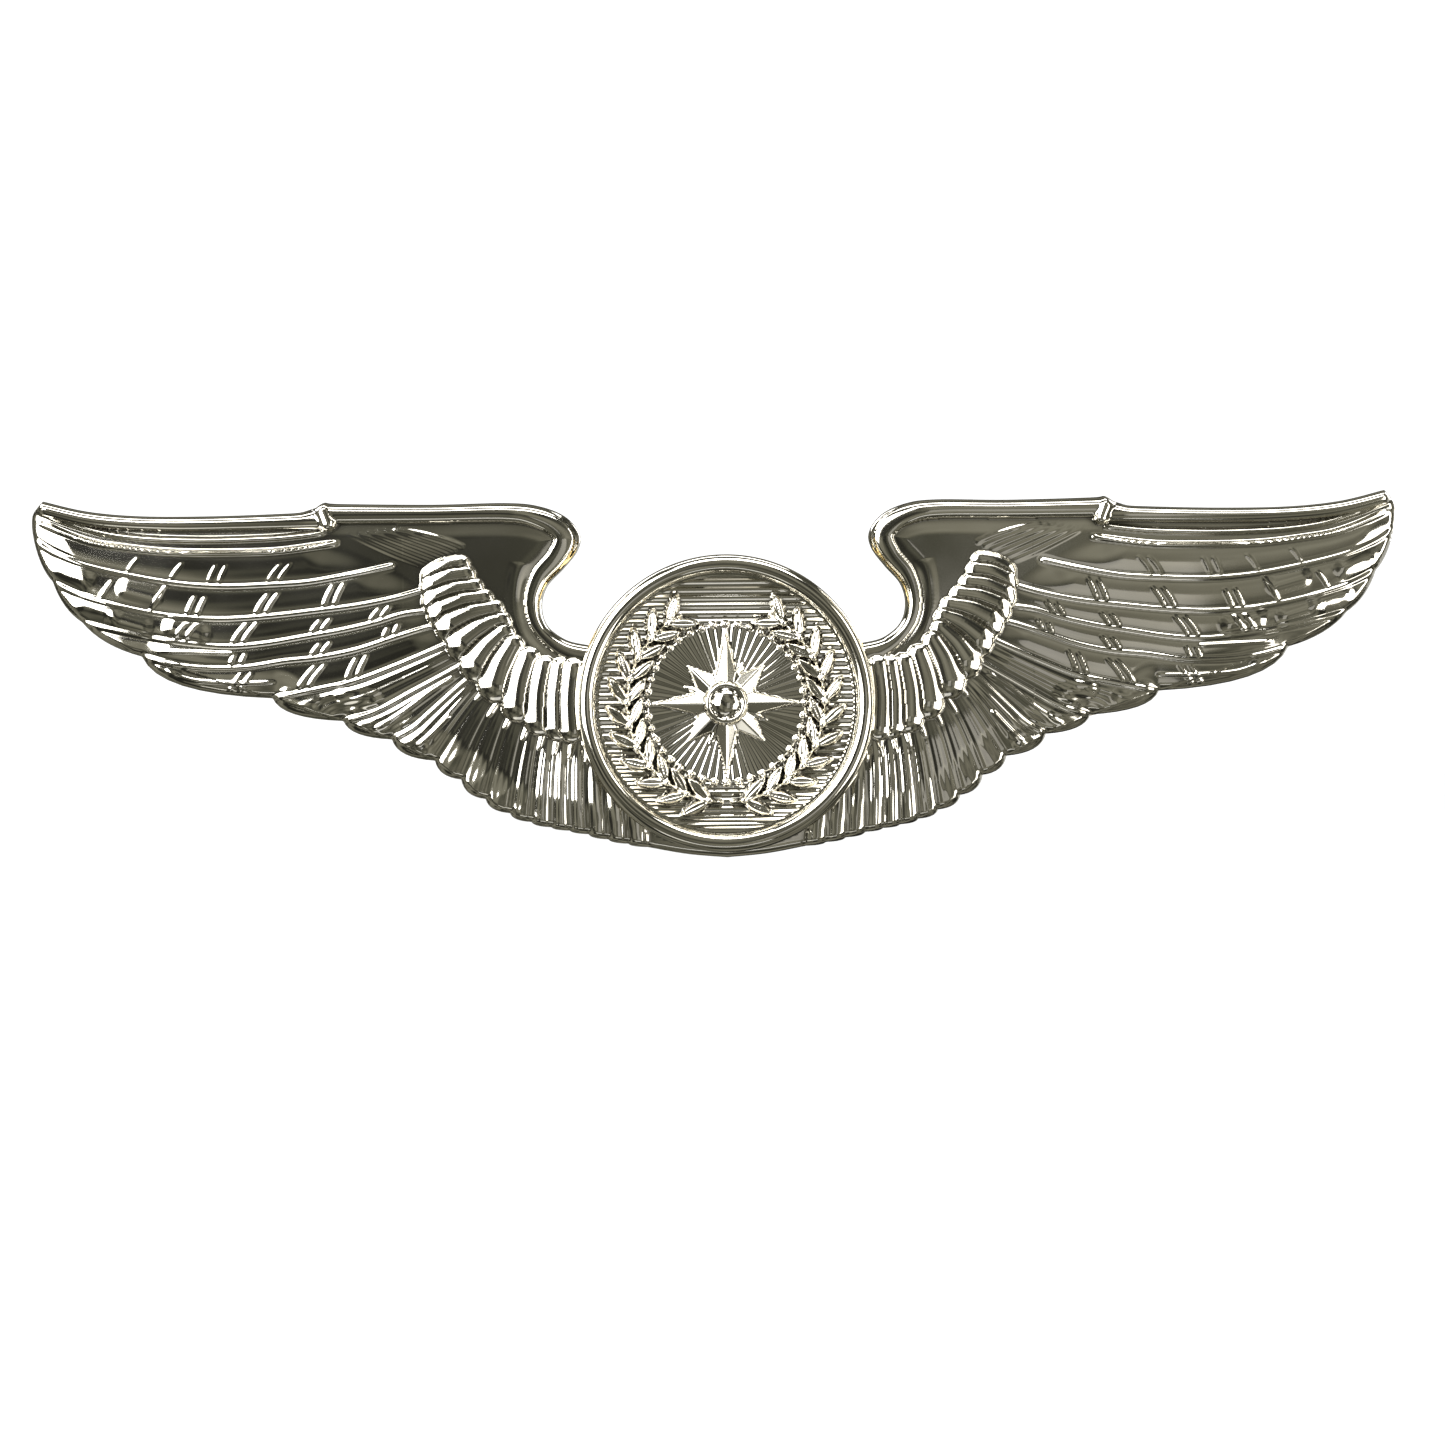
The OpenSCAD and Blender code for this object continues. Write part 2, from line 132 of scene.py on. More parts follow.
class Relief:
    """Heights over a grid whose lines are at across and up, in millimetres."""

    def __init__(self, across, up):
        self.across, self.up = across, up
        self.x, self.z = np.meshgrid(across, up, indexing="ij")
        self.height = np.zeros(self.x.shape)

    def window(self, low, high):
        """The part of the grid between the two corners."""
        i = np.searchsorted(self.across, [low[0], high[0]])
        j = np.searchsorted(self.up, [low[1], high[1]])
        return slice(*i), slice(*j)

    def near(self, path, reach):
        """How far each place is from the path, up to reach, and its share of the way along."""
        path = np.array(path, float)
        steps = np.linalg.norm(np.diff(path, axis=0), axis=1)
        starts = np.concatenate([[0], np.cumsum(steps)])
        far = np.full(self.x.shape, float(reach))
        share = np.zeros(self.x.shape)
        for a, b, start, step in zip(path[:-1], path[1:], starts, steps):
            w = self.window(np.minimum(a, b) - reach, np.maximum(a, b) + reach)
            dx, dz = self.x[w] - a[0], self.z[w] - a[1]
            t = np.clip((dx * (b - a)[0] + dz * (b - a)[1]) / max(step * step, 1e-9), 0, 1)
            distance = np.hypot(dx - t * (b - a)[0], dz - t * (b - a)[1])
            closer = distance < far[w]
            far[w][closer] = distance[closer]
            share[w][closer] = ((start + t * step) / starts[-1])[closer]
        return far, share

    def inside(self, path):
        """True where a place is inside the closed path."""
        path = np.array(path, float)
        found = np.zeros(self.x.shape, bool)
        for a, b in zip(path, np.roll(path, -1, axis=0)):
            rows = (a[1] > self.up) != (b[1] > self.up)
            if rows.any():
                cross = a[0] + (self.up[rows] - a[1]) * (b[0] - a[0]) / (b[1] - a[1])
                found[:, rows] ^= self.across[:, None] < cross
        return found

    def bead(self, path, half, rise, taper=0.0):
        """Adds a rounded line, which thins towards its ends by the share taper."""
        d, share = self.near(path, half)
        ends = np.minimum(1, np.minimum(share, 1 - share) / taper) if taper else 1
        self.height += rise * np.sqrt(ends) * (1 - (d / half) ** 2) ** 2

    def raise_to(self, other):
        self.height = np.maximum(self.height, other)


def blurred(values, reach):
    """The values, smoothed over that many grid steps each way."""
    weights = [math.exp(-2 * (k / reach) ** 2) for k in range(1, reach + 1)]
    for axis in (0, 1):
        total = values.copy()
        for k, weight in enumerate(weights, 1):
            for shift in (-k, k):
                total = total + weight * np.roll(values, shift, axis)
        values = total / (1 + 2 * sum(weights))
    return values


def smooth_step(value, low, high):
    """0 up to low and 1 from high, with a smooth rise between them."""
    t = np.clip((value - low) / (high - low), 0, 1)
    return t * t * (3 - 2 * t)


# ---- The drawn wing, from the centre outwards --------------------------------------------------

FEATHER_ENDS = [
    (38.05, 9.5), (37, 7.15), (35.35, 4.85), (32, 2.9), (24.7, 0.5), (20.8, -0.8),
    (18.2, -1.85), (15.9, -3.05), (14.5, -4.1), (13.2, -5.2), (11.9, -6), (10.75, -6.5),
    (9.7, -6.8), (8.7, -7), (7.7, -7.2), (6.6, -7.5), (5.5, -7.75), (4.4, -7.95),
]
UNDER_MEDALLION = [(0, -8.55), (2.2, -8.35), (4.4, -7.95)]
TIP = [(38.05, 9.5), (38.15, 10.3), (38.05, 11), (37.5, 11.65)]
LEADING_EDGE = [(37.5, 11.65), (35, 11.05), (32, 10.75), (28, 10.7), (23.8, 10.8), (22.9, 10.88)]
SHOULDER = [
    (22.2, 11.1), (21.7, 11.38), (20.9, 11.3), (16, 11.2), (12, 11.25), (10.2, 11.05),
    (8.8, 10.45), (8.05, 9.5), (8.15, 8.6), (8.9, 7.6), (9.8, 6.6), (10.1, 5.5),
    (9.8, 4.4), (8.8, 3.6), (7.6, 3.3),
]
PRIMARY_LINES = [
    [(18.1, 7.8), (20, 7.4), (22.5, 6.95), (25, 6.8), (27.5, 6.75), (30, 6.95), (32.5, 7.4),
     (35, 8), (36.8, 8.7)],
    [(16.2, 6.5), (18, 6), (20, 5.6), (22.5, 5.3), (25, 5.05), (27.5, 4.93), (30, 5.1),
     (32.5, 5.55), (35.2, 6.3)],
    [(15.9, 5.3), (17.5, 5.1), (19, 4.65), (21, 4.2), (23, 3.87), (25, 3.55), (27, 3.4),
     (29, 3.55), (31, 3.85), (33.2, 4.3)],
    [(15.2, 4.35), (16, 4.4), (18, 3.8), (20, 3.15), (22, 2.75), (24, 2.55), (26, 2.25),
     (28, 2.2), (30, 2.4)],
    [(14.6, 3.7), (16, 3.05), (18, 2.2), (20, 1.45), (22, 1)],
    [(13.8, 2.6), (15, 1.9), (17, 0.8), (19, -0.28)],
    [(13.6, 1.8), (14.5, 1.1), (16, -0.3), (17, -1.2)],
]
SHORT_LINES = [
    [(26.8, 3), (29, 3.1), (31, 3.2)],
    [(24.5, 1.4), (26.5, 1.38), (29, 1.55), (30.6, 2.1)],
    [(14.8, 1.6), (16, 0.85), (17, 0.1), (18, -0.6), (19.1, -1.25)],
    [(15, -0.5), (16, -1.5), (16.8, -2.2)],
]
COVERT_TOPS = [(14.5, 7.7), (13.7, 6.3), (12.5, 4.95), (11.9, 3.55), (10.1, 2.15), (8.4, 2)]
COVERT_ENDS = [(15.8, 7.15), (15.55, 5.65), (14.55, 4.05), (12.95, 1.6), (10.4, -0.7), (8.5, -1.4)]
SECONDARY_ROOTS = [
    (12.6, 1.7), (12.2, 0.7), (11.4, 0.2), (10.5, -0.5), (9.7, -1), (8.9, -1.3), (8, -1.5),
    (7, -2.1), (5.8, -2.8), (4.7, -3.6),
]
ROLL_LINE = [(21.6, 10.42), (26, 10.36), (30.5, 10.36), (34.5, 10.65), (37.3, 11.3)]
RIB_LINES = [
    [(21.6, 9.7), (23.8, 9.45), (26, 9.36), (28, 9.33), (30, 9.38), (32, 9.5), (34, 9.8),
     (36, 10.4), (37.4, 10.95)],
    [(20.9, 9.1), (24, 8.7), (26.4, 8.62), (29, 8.64), (31, 8.75), (33, 9), (34.5, 9.25),
     (36, 9.75), (37.7, 10.5)],
]
HAIR_TOP = [(18, 9.85), (16.6, 9.6), (15.2, 9.2), (14.2, 8.8)]
HAIR_FOOT = [(20.4, 9.6), (19.2, 9), (17.8, 8.35), (16.2, 7.7)]
SHOULDER_LINE = [
    (21.5, 10.72), (16, 10.7), (12, 10.7), (10.3, 10.4), (9.2, 9.8), (8.85, 9.1), (9.3, 8.1),
    (10.1, 7.1), (10.48, 5.8), (10.25, 4.6), (9.4, 3.55), (8.5, 3), (7.6, 2.85),
]
NECK_LINE = [
    (11.2, 7.9), (11.38, 6.6), (11.35, 5), (10.75, 3.6), (9.7, 2.6), (8.5, 2.3), (7.6, 2.2),
]
COLLAR_LINE = [(21.9, 11.2), (21.5, 10.2)]
VANE_TOP = RIB_LINES[1] + [(38.05, 10.3)]         # the upper side of the first feather

# How far out the short strokes stand on each outer feather. They are in pairs as far out as
# STROKE_PAIRS_END, and single beyond it.
STROKES = [
    [24.3, 27.6, 30.3, 32.7], [21.2, 25, 28.8, 31.4, 34.2], [18.7, 21.9, 26.3, 29.5],
    [18, 21.9, 26.4], [20, 22.7, 26.6],
]
STROKE_GAP = 0.58
STROKE_PAIRS_END = 30

# Plump places on the outer feathers: across, up and half width
PLUMP = [
    (35.9, 7.5, 0.75), (34.4, 5.6, 0.75), (32, 6.5, 0.65), (32.6, 4.7, 0.7), (29.4, 4.35, 0.7),
    (31, 2.3, 0.6), (23.2, 0.35, 0.6), (19.9, 0.55, 0.65), (19.4, -0.75, 0.5), (17.1, -1.9, 0.5),
]

PRIMARIES = len(PRIMARY_LINES)
SECONDARIES = len(FEATHER_ENDS) - PRIMARIES - 1
COVERTS = 12
HAIRS = 6
BLUNT = 3             # the outer feathers, whose ends are cut nearly straight


def feather_edge(k):
    """The lower edge of the feather that ends between ends k + 1 and k."""
    a, b = FEATHER_ENDS[k + 1], FEATHER_ENDS[k]
    fullness = 0.32 if k < BLUNT else 0.12
    return bezier(a, (b[0] - fullness * (b[0] - a[0]), a[1] + fullness * (b[1] - a[1])), b)


def feather_line(k):
    """The line between two feathers, from its root to the lower edge."""
    if k < PRIMARIES:
        return spline(PRIMARY_LINES[k] + [FEATHER_ENDS[k]])
    root = along(SECONDARY_ROOTS, (k - PRIMARIES) / SECONDARIES)
    end = np.array(FEATHER_ENDS[k])
    return spline([root, (root + end) / 2 + (0.1, 0), end])


def wing_outline():
    """The outline of a wing, carried on past the middle of the badge."""
    return np.vstack(
        [[(-3, -8.5)], spline(UNDER_MEDALLION)]
        + [feather_edge(k) for k in range(len(FEATHER_ENDS) - 2, -1, -1)]
        + [spline(TIP), spline(LEADING_EDGE), spline(SHOULDER), [(-3, 3.3)]])


# ---- The relief of a wing ----------------------------------------------------------------------

BASE_H = 0.95         # of the sunken sheet, above the back
EDGE_H = 0.45         # of the sheared edge, above the back
EDGE_R = 0.42         # over which the relief rounds down to that edge
SWELL_H, SWELL_R = 0.22, 2.0      # the whole relief swells by SWELL_H over SWELL_R from its edge
VANE_REACH = 2.6      # the furthest that a feather's lines are looked for
ROOT_FADE = 2.2       # over which a feather rises from its root
GROOVE_HALF = 0.34    # half the sunken band along each line between feathers
OUTER_LINE = (0.21, 0.14)         # half width and rise of the lines between the primaries,
RIB_LINE = (0.24, 0.17)           # and of the ribs along the leading edge
ROLL_HALF, COLLAR_HALF = 0.5, 0.45
COVERT_ROOT_HALF = 0.62
GRID_UP = 0.045       # the grid's step upwards, and below it the steps across: from, to, step
GRID_ACROSS = [(0, 4, 0.4), (4, 8, 0.1), (8, 17.5, 0.06), (17.5, 34, 0.08), (34, 38.4, 0.1)]


def dome(d, reach):
    """1 on a line and 0 at reach from it, with slopes that stay gentle."""
    return np.clip(1 - (d / reach) ** 2, 0, 1)


def raise_vane(sheet, upper, lower, crown, barbs=0, cut=0.035):
    """A feather between two lines: full across its middle, with barbs cut along it."""
    within = sheet.inside(np.vstack([upper, lower[::-1]]))
    d_up, _ = sheet.near(upper, VANE_REACH)
    d_low, _ = sheet.near(lower, VANE_REACH)
    across = d_up / np.maximum(d_up + d_low, 1e-6)
    full = 1 - (2 * across - 1) ** 2
    groove = (0.5 - 0.5 * np.cos(2 * math.pi * barbs * across)) * np.minimum(1, 3 * full)
    rise = 0.06 + crown * np.minimum(d_up + d_low, 1.8) * full - cut * groove
    d_root, _ = sheet.near([upper[0], lower[0]], ROOT_FADE)
    rise *= smooth_step(d_root, 0, ROOT_FADE)
    sheet.height[within] += rise[within]


def add_strokes(sheet, upper, lower, places, rise, half):
    """Short slanting lines that stand on the lower line of a feather."""
    for x in places:
        tall_share = 0.62 + 0.1 * (round(10 * x) % 3)
        lean = 0.45 + 0.1 * (round(10 * x) % 4)
        for foot_x in (x, x + STROKE_GAP) if x < STROKE_PAIRS_END else (x,):
            low = np.interp(foot_x, lower[:, 0], lower[:, 1]) + 0.12
            tall = tall_share * (np.interp(foot_x, upper[:, 0], upper[:, 1]) - low)
            path = [(foot_x, low), (foot_x - 0.4 * lean * tall, low + 0.5 * tall),
                    (foot_x - lean * tall, low + tall)]
            sheet.bead(spline(path, 4), half, rise, 0.3)


def inner_share(k):
    """0 on the outer secondaries and 1 on those by the medallion, which are struck deeper."""
    return smooth_step(k, PRIMARIES + 3.0, PRIMARIES + 5.5)


def raise_feathers(sheet):
    """The feathers, the strokes and plump places on them, and the lines between them."""
    lines = [feather_line(k) for k in range(len(FEATHER_ENDS))]
    uppers = [spline(VANE_TOP)] + lines[:-1]
    for k, (upper, lower) in enumerate(zip(uppers, lines)):
        if k < PRIMARIES - 2:
            raise_vane(sheet, upper, lower, 0.04)
        elif k <= PRIMARIES:
            raise_vane(sheet, upper, lower, 0.06, 4)
        else:
            inner = inner_share(k)
            raise_vane(sheet, upper, lower, 0.015 + 0.13 * inner, 4, 0.007 + 0.03 * inner)
    for k, (places, upper, lower) in enumerate(zip(STROKES, uppers, lines)):
        add_strokes(sheet, upper, lower, places, 0.075 if k else 0.035, 0.13 if k else 0.12)
    for x, z, half in PLUMP:
        sheet.bead([(x - 0.7, z - 0.2), (x + 0.7, z + 0.2)], 1.1 * half, 0.16 * half)
    for k, line in enumerate(lines):
        if k < PRIMARIES:
            sheet.bead(line, GROOVE_HALF, -0.05)
            sheet.bead(line, *OUTER_LINE)
        else:
            sheet.bead(line, GROOVE_HALF, -0.02 - 0.03 * inner_share(k))
            sheet.bead(line, 0.17, 0.02 + 0.08 * inner_share(k))
    for line in SHORT_LINES:
        sheet.bead(spline(line), 0.15, 0.1, 0.1)
    # A rounded root between each two lines of the secondaries
    for a, b in zip(lines[PRIMARIES:-2], lines[PRIMARIES + 1:-1]):
        top = (a[0] + b[0]) / 2 + 0.12 * (b[0] - a[-1]) / np.linalg.norm(b[0] - a[-1])
        sheet.bead(bezier(a[5], 2 * top - (a[5] + b[5]) / 2, b[5]), 0.16, 0.09, 0.1)


def raise_coverts(sheet):
    """Plump lobes over the roots of the feathers, each lapping over the one before it."""
    for k in range(COVERTS):
        share = k / (COVERTS - 1)
        a, b = along(COVERT_TOPS, share), along(COVERT_ENDS, share)
        bend = (0.08, 0.1) if share < 0.5 else (0.12, 0)
        far, t = sheet.near(spline([a, (a + b) / 2 + bend, b], 6), 1.1)
        end_reach = 0.7 + 0.32 * math.sin(math.pi * share)
        reach = COVERT_ROOT_HALF + (end_reach - COVERT_ROOT_HALF) * t
        covert = BASE_H + 0.14 + 0.06 * t + 0.34 * reach * dome(far, reach)
        sheet.height = np.where(far < reach, covert, sheet.height)


def raise_leading_edge(sheet):
    """The ribs, hairs and roll of the leading edge, the bar round the shoulder, and the collar."""
    for line in RIB_LINES:
        sheet.bead(spline(line), *RIB_LINE, 0.04)
    top, foot = np.array(HAIR_TOP), np.array(HAIR_FOOT)
    for k in range(HAIRS):
        share = k / (HAIRS - 1)
        sheet.bead(spline(top + share * (foot - top)), 0.21, 0.08 - 0.05 * share, 0.5)
    d, _ = sheet.near(spline(ROLL_LINE), ROLL_HALF)
    roll = BASE_H + 0.2 + 0.3 * dome(d, ROLL_HALF) ** 0.8
    sheet.raise_to(np.where(d < ROLL_HALF, roll, 0))
    sheet.bead(spline(NECK_LINE), 0.7, 0.08, 0.4)
    d, t = sheet.near(spline(SHOULDER_LINE), 0.8)
    reach = 0.56 - 0.04 * smooth_step(t, 0.4, 0.6)
    neck = smooth_step(t, 0.45, 0.62)
    bar = BASE_H + 0.2 - 0.06 * neck + (0.38 - 0.29 * neck) * dome(d, reach) ** 0.8
    sheet.raise_to(np.where(d < reach, bar, 0))
    d, _ = sheet.near(COLLAR_LINE, COLLAR_HALF)
    collar = BASE_H + 0.3 + 0.42 * dome(d, COLLAR_HALF) ** 0.6
    sheet.raise_to(np.where(d < COLLAR_HALF, collar, 0))


def wing_sheet():
    """The relief of the drawn wing, and how far each place is inside the plate's outline."""
    across = np.concatenate([np.arange(*part) for part in GRID_ACROSS])
    sheet = Relief(across, np.arange(-8.8, 12.1, GRID_UP))
    outline = wing_outline()
    depth, _ = sheet.near(np.vstack([outline, outline[:1]]), SWELL_R)
    depth = np.where(sheet.inside(outline), depth, -depth)
    depth = np.maximum(depth, SEAT_R - np.hypot(sheet.x, sheet.z))
    sheet.height += BASE_H
    raise_feathers(sheet)
    raise_leading_edge(sheet)
    raise_coverts(sheet)
    sheet.height += SWELL_H * smooth_step(depth, 0, SWELL_R)
    sheet.height = blurred(sheet.height, 1)
    # How far each place sits below its surroundings; the silver's material paints shade there
    sheet.cavity = sheet.height - blurred(sheet.height, 8)
    rounded = np.sqrt(np.clip(1 - (1 - np.clip(depth, 0, EDGE_R) / EDGE_R) ** 2, 0, 1))
    sheet.height = EDGE_H + (sheet.height - EDGE_H) * rounded
    sheet.depth = depth
    return sheet


# ---- From heights to a closed mesh -------------------------------------------------------------

SHARP = math.radians(50)          # edges that turn by more than this stay sharp
BACK_GRID = 0.9                   # between the points of the plate's flat back


def clipped_grid(across, up, depth):
    """The part of a grid where depth is above 0: its points, its faces and its edge loops.
    The first points are the grid's own, at the (i, j) that comes back too. The rest are on the
    edge."""
    kept = depth > 0
    index = np.full(depth.shape, -1)
    index[kept] = np.arange(kept.sum())
    x, z = np.meshgrid(across, up, indexing="ij")
    points = [np.stack([x[kept], z[kept]], 1)]
    count = int(kept.sum())
    crossings = []
    for axis in (0, 1):
        a = (slice(None, -1), slice(None)) if axis == 0 else (slice(None), slice(None, -1))
        b = (slice(1, None), slice(None)) if axis == 0 else (slice(None), slice(1, None))
        cross = kept[a] != kept[b]
        t = np.clip(depth[a][cross] / (depth[a][cross] - depth[b][cross]), 0.06, 0.94)
        points.append(np.stack([x[a][cross] + t * (x[b] - x[a])[cross],
                                z[a][cross] + t * (z[b] - z[a])[cross]], 1))
        table = np.full(cross.shape, -1)
        table[cross] = count + np.arange(cross.sum())
        count += int(cross.sum())
        crossings.append(table)
    along_x, along_z = crossings
    corners = [index[:-1, :-1], index[1:, :-1], index[1:, 1:], index[:-1, 1:]]
    sides = [along_x[:, :-1], along_z[1:, :], along_x[:, 1:], along_z[:-1, :]]
    whole = np.all([c >= 0 for c in corners], axis=0)
    faces = np.stack([c[whole] for c in corners], 1).tolist()
    after = {}
    cut = ~whole & np.any([c >= 0 for c in corners], axis=0)
    for i, j in zip(*np.nonzero(cut)):
        ring = []
        for corner, side in zip(corners, sides):
            if corner[i, j] >= 0:
                ring.append((int(corner[i, j]), False))
            if side[i, j] >= 0:
                ring.append((int(side[i, j]), True))
        faces.append([v for v, _ in ring])
        for (v, v_edge), (w, w_edge) in zip(ring, ring[1:] + ring[:1]):
            if v_edge and w_edge and v not in after:
                after[v] = w
    loops = []
    while after:
        start, v = next(iter(after.items()))
        loop = [start]
        del after[start]
        while v != start:
            loop.append(v)
            v = after.pop(v)
        loops.append(loop)
    return np.vstack(points), faces, loops, np.nonzero(kept)


def filled(rings, loose=()):
    """Triangles inside the first ring and outside the others, over their points and the loose
    ones, and which of those points each of theirs is, or -1."""
    points, edges = [], []
    for ring in rings:
        start = len(points)
        points += [Vector(p) for p in ring]
        edges += [(start + k, start + (k + 1) % len(ring)) for k in range(len(ring))]
    points += [Vector(p) for p in loose]
    verts, _, faces, origins, *_ = delaunay_2d_cdt(points, edges, [], 1, 1e-9)
    back = [o[0] if o else -1 for o in origins]
    return np.array([(v.x, v.y) for v in verts]), [[int(v) for v in f] for f in faces], back


def mesh_object(name, points, faces):
    mesh = bpy.data.meshes.new(name)
    mesh.from_pydata(np.asarray(points).tolist(), [], faces)
    mesh.shade_smooth()
    mesh.set_sharp_from_angle(angle=SHARP)
    mesh.update()
    piece = bpy.data.objects.new(name, mesh)
    bpy.context.scene.collection.objects.link(piece)
    return piece


def bow(x):
    """How far back the bowed plate is at a place across."""
    return BOW_R - np.sqrt(BOW_R ** 2 - x ** 2) - SEAT_PROUD


def span(x):
    """A drawn place along the span, 0 or more to the right, as a place on the real badge."""
    side = np.where(x < 0, -1, 1)
    out = np.abs(x)
    collar = np.where(x < 0, COLLAR[-1], COLLAR[1])
    tip = np.where(x < 0, WING_TIP[-1], WING_TIP[1])
    inner = ROOT_X + (out - ROOT_X) * (collar - ROOT_X) / (COLLAR_X - ROOT_X)
    outer = collar + (out - COLLAR_X) * (tip - collar) / (TIP_X - COLLAR_X)
    return side * np.where(out <= ROOT_X, out, np.where(out <= COLLAR_X, inner, outer))


def back_depth(x, z):
    """Where the back of the plate is at a place, with the seat and the posts' pockets."""
    seat = smooth_step(np.hypot(x, z), SEAT_R + 0.01, SEAT_R + 0.16)
    y = seat * bow(x)
    for side in (-1, 0, 1):
        centre = np.hypot(x - side * POST_X, z - abs(side) * POST_Z)
        y = y - POCKET_DEPTH * (1 - smooth_step(centre, POCKET_R + 0.02, POCKET_R + 0.1))
    return y


def circle(centre, radius, count):
    """Points all round a circle."""
    q = 2 * math.pi * np.arange(count) / count
    return np.stack([centre[0] + radius * np.cos(q), centre[1] + radius * np.sin(q)], 1)


def mirrored(values):
    """The values of the drawn wing, with those of its mirror image before them."""
    return np.vstack([values[:0:-1], values])


def back_places(rim):
    """Loose points for the back of the plate: an even grid, and rings round what stands on it."""
    loose = [(a, b) for a in np.arange(-38, 38, BACK_GRID) for b in np.arange(-8, 11, BACK_GRID)]
    for radius in SEAT_R + np.array([-0.12, 0.01, 0.16, 0.3]):
        loose += [tuple(p) for p in circle((0, 0), radius, 300)]
    for side in (-1, 0, 1):
        centre = (side * POST_X, abs(side) * POST_Z)
        for radius in POCKET_R + np.array([-0.08, 0.02, 0.1, 0.2]):
            loose += [tuple(p) for p in circle(centre, radius, 72)]
    depth_of = depth_lookup(rim)
    return [p for p in loose if depth_of(np.array(p)) > 0.12]


def wing_plate():
    """The plate with both wings: its relief in front, its back, and the sheared edge."""
    sheet = wing_sheet()
    across = np.concatenate([-sheet.across[:0:-1], sheet.across])
    points, faces, loops, (i, j) = clipped_grid(across, sheet.up, mirrored(sheet.depth))
    inner = len(i)
    x, z = span(points[:, 0]), points[:, 1]
    height = np.full(len(points), EDGE_H)
    height[:inner] = mirrored(sheet.height)[i, j]
    cavity = np.zeros(len(points))
    cavity[:inner] = mirrored(sheet.cavity)[i, j]
    under = smooth_step(np.hypot(x, z), SEAT_R - 0.1, SEAT_R + 0.05)
    y = under * (bow(x) - height) - (1 - under) * SEAT_FRONT
    verts = [np.stack([x, y, z], 1)]
    loop = max(loops, key=len)
    rim = np.stack([x[loop], z[loop]], 1)
    flat, tris, origin = filled([rim], back_places(rim))
    start = len(points)
    verts.append(np.stack([flat[:, 0], back_depth(flat[:, 0], flat[:, 1]), flat[:, 1]], 1))
    faces += [[start + v for v in t][::-1] for t in tris]
    back_of = {o: start + v for v, o in enumerate(origin) if 0 <= o < len(loop)}
    for k, v in enumerate(loop):
        m = (k + 1) % len(loop)
        faces.append([loop[m], v, back_of[k], back_of[m]])
    piece = mesh_object("struck_wings", np.vstack(verts) * MM, faces)
    store(piece, "cavity", np.concatenate([cavity, np.zeros(len(flat))]))
    return piece


def depth_lookup(ring):
    """A function that says how far inside the closed ring a point is."""
    a, b = ring, np.roll(ring, -1, axis=0)
    edge = b - a
    length = np.maximum((edge ** 2).sum(1), 1e-12)

    def depth(p):
        t = np.clip(((p - a) * edge).sum(1) / length, 0, 1)
        near = np.sqrt((((a + t[:, None] * edge) - p) ** 2).sum(1)).min()
        rows = (a[:, 1] > p[1]) != (b[:, 1] > p[1])
        cross = a[rows, 0] + (p[1] - a[rows, 1]) * edge[rows, 0] / edge[rows, 1]
        return near if (cross > p[0]).sum() % 2 else -near

    return depth


def store(piece, name, values):
    """Keeps one number a vertex on the piece, for its material to read."""
    attribute = piece.data.attributes.new(name, "FLOAT", "POINT")
    attribute.data.foreach_set("value", np.asarray(values, np.float32))


# ---- The medallion -----------------------------------------------------------------------------

FIELD_R = MEDALLION_R - RIM_W
FIELD_HALF = 7.2                        # half the grid that covers the field
RIB_PITCH = 0.45
RAYS, RAYS_R = 56, 4.3
BEADS, BEADS_R = 40, 4.38               # the ring of beads round the rays
WREATH_R = 5.45
LEAF_PAIRS = 11                         # on each branch
LEAF_LENGTH, LEAF_WIDTH = 1.75, 0.66
STAR_R, STAR_POINTS = 4.1, 8
HUB_R, HUB_RING_R, HUB_RING_HALF = 0.85, 1.0, 0.17
BALL_R = 0.2                            # of a bead or a berry
RIM_COUNT = 480                         # points round the rim


def star(sheet, radius, edge, top, turn=0.0):
    """A faceted star: long and short points by turns, with its ridges meeting in the middle."""
    r, q = np.hypot(sheet.x, sheet.z), np.arctan2(sheet.z, sheet.x) - math.pi / 2 + turn
    sector = math.pi / STAR_POINTS
    place = (q % (2 * math.pi)) / sector
    k = np.floor(place).astype(int)
    reach = np.array([radius if n % 4 == 0 else 0.4 * radius if n % 2 else 0.72 * radius
                      for n in range(2 * STAR_POINTS + 1)])
    a, b = reach[k], reach[k + 1]
    t = (place - k) * sector
    limit = a * b * math.sin(sector) / (a * np.sin(t) + b * np.sin(sector - t))
    share = r / limit
    return np.where(share < 1, edge + (top - edge) * (1 - share), 0)


def leaf(sheet, root, direction, length, width, base, rise):
    """A pointed leaf with a midrib, lying on the sheet."""
    c, s = math.cos(direction), math.sin(direction)
    w = sheet.window((root[0] - length, root[1] - length), (root[0] + length, root[1] + length))
    dx, dz = sheet.x[w] - root[0], sheet.z[w] - root[1]
    a, b = (dx * c + dz * s) / length, np.abs(dz * c - dx * s)
    half = 0.5 * width * np.sin(math.pi * np.clip(a, 0, 1)) ** 0.8
    share = b / np.maximum(half, 1e-6)
    top = base + rise * np.sqrt(np.clip(1 - share ** 2, 0, 1)) - 0.1 * np.exp(-(b / 0.05) ** 2)
    part = sheet.height[w]
    part[:] = np.where((share < 1) & (a > 0) & (a < 1), np.maximum(part, top), part)


def ball(sheet, place, radius, base, stretch=1.0):
    """A round knob on the sheet, stretched upwards from its base."""
    d = np.hypot(sheet.x - place[0], sheet.z - place[1])
    top = base + stretch * np.sqrt(np.clip(radius ** 2 - d ** 2, 0, 1))
    sheet.raise_to(np.where(d < radius, top, 0))


